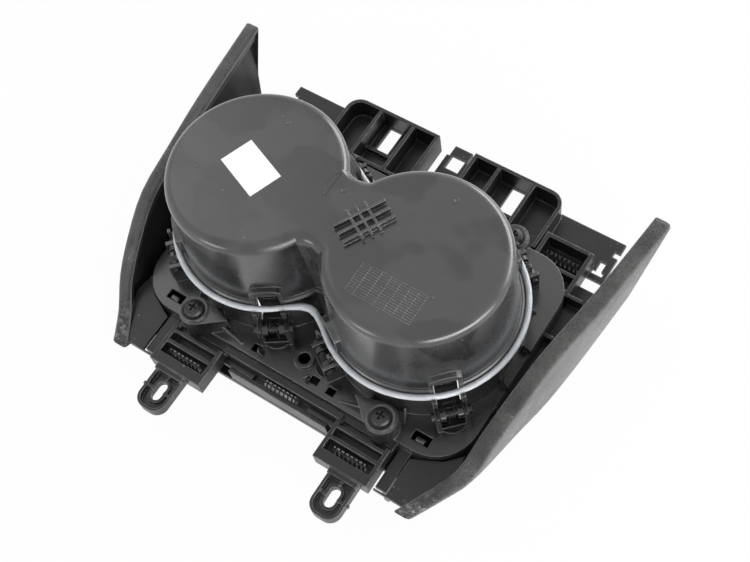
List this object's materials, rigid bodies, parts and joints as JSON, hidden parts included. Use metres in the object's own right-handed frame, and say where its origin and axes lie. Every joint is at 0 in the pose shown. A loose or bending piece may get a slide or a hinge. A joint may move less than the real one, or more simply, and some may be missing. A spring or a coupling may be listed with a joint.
{
  "type": "car cup holder",
  "caption": "Twin cup holder module of a car console, seen from its closed ends, with sprung cup fingers, light guide, carrier frame, screw tabs and wrapped side wings.",
  "frame": {"origin": "centre of the part's length and width, on the surface that the trim face rests on; the module is stored upside down, as in the picture", "axes": "+Z from the trim face to the closed ends of the wells (down in the car), +X across the car, -Y towards the two screw tabs"},
  "size_m": [0.2408, 0.2034, 0.0948],
  "materials": {
    "satin_black_plastic": "satin moulded, with flow lines and fine scratches",
    "matte_black_plastic": "matte moulded",
    "soft_skin": "soft grained skin",
    "finger_plastic": "matte moulded",
    "clear_guide": "clear moulded rod",
    "label_paper": "blank matte paper",
    "black_steel": "black coated",
    "spring_steel": "plain spring steel"
  },
  "bodies": {
    "module": {"cup_well": "satin_black_plastic", "carrier_frame": "matte_black_plastic", "trim_panel": "matte_black_plastic", "left_wing": "matte_black_plastic", "right_wing": "matte_black_plastic", "left_wing_skin": "soft_skin", "right_wing_skin": "soft_skin", "light_guide": "clear_guide", "label": "label_paper", "screws": "black_steel", "spring_clips": "spring_steel", "pin_l1": "black_steel", "pin_l2": "black_steel", "pin_l3": "black_steel", "pin_l4": "black_steel", "pin_r1": "black_steel", "pin_r2": "black_steel", "pin_r3": "black_steel", "pin_r4": "black_steel", "spring_l1": "spring_steel", "spring_l2": "spring_steel", "spring_l3": "spring_steel", "spring_l4": "spring_steel", "spring_r1": "spring_steel", "spring_r2": "spring_steel", "spring_r3": "spring_steel", "spring_r4": "spring_steel"},
    "finger_l1_body": {"finger_l1": "finger_plastic"},
    "finger_l2_body": {"finger_l2": "finger_plastic"},
    "finger_l3_body": {"finger_l3": "finger_plastic"},
    "finger_l4_body": {"finger_l4": "finger_plastic"},
    "finger_r1_body": {"finger_r1": "finger_plastic"},
    "finger_r2_body": {"finger_r2": "finger_plastic"},
    "finger_r3_body": {"finger_r3": "finger_plastic"},
    "finger_r4_body": {"finger_r4": "finger_plastic"}
  },
  "joints": [
    {"name": "left_inner_front_swing", "type": "hinge", "parent": "module", "child": "finger_l1_body", "pos_m": [-0.01452, -0.04107, 0.033], "axis": [0.8387, 0.5446, 0], "range_deg": [0, 12], "stiffness_Nm_per_rad": 0.008, "springref_deg": -20.05, "deforming": ["spring_l1"]},
    {"name": "left_outer_front_swing", "type": "hinge", "parent": "module", "child": "finger_l2_body", "pos_m": [-0.07836, -0.03436, 0.033], "axis": [0.7071, -0.7071, 0], "range_deg": [0, 12], "stiffness_Nm_per_rad": 0.008, "springref_deg": -20.05, "deforming": ["spring_l2"]},
    {"name": "left_inner_rear_swing", "type": "hinge", "parent": "module", "child": "finger_l3_body", "pos_m": [-0.02075, 0.04792, 0.033], "axis": [-0.9063, 0.4226, 0], "range_deg": [0, 12], "stiffness_Nm_per_rad": 0.008, "springref_deg": -20.05, "deforming": ["spring_l3"]},
    {"name": "left_outer_rear_swing", "type": "hinge", "parent": "module", "child": "finger_l4_body", "pos_m": [-0.07008, 0.04447, 0.033], "axis": [-0.8387, -0.5446, 0], "range_deg": [0, 12], "stiffness_Nm_per_rad": 0.008, "springref_deg": -20.05, "deforming": ["spring_l4"]},
    {"name": "right_inner_front_swing", "type": "hinge", "parent": "module", "child": "finger_r1_body", "pos_m": [0.01452, -0.04107, 0.033], "axis": [0.8387, -0.5446, 0], "range_deg": [0, 12], "stiffness_Nm_per_rad": 0.008, "springref_deg": -20.05, "deforming": ["spring_r1"]},
    {"name": "right_outer_front_swing", "type": "hinge", "parent": "module", "child": "finger_r2_body", "pos_m": [0.07836, -0.03436, 0.033], "axis": [0.7071, 0.7071, 0], "range_deg": [0, 12], "stiffness_Nm_per_rad": 0.008, "springref_deg": -20.05, "deforming": ["spring_r2"]},
    {"name": "right_inner_rear_swing", "type": "hinge", "parent": "module", "child": "finger_r3_body", "pos_m": [0.02075, 0.04792, 0.033], "axis": [-0.9063, -0.4226, 0], "range_deg": [0, 12], "stiffness_Nm_per_rad": 0.008, "springref_deg": -20.05, "deforming": ["spring_r3"]},
    {"name": "right_outer_rear_swing", "type": "hinge", "parent": "module", "child": "finger_r4_body", "pos_m": [0.07008, 0.04447, 0.033], "axis": [-0.8387, 0.5446, 0], "range_deg": [0, 12], "stiffness_Nm_per_rad": 0.008, "springref_deg": -20.05, "deforming": ["spring_r4"]}
  ]
}
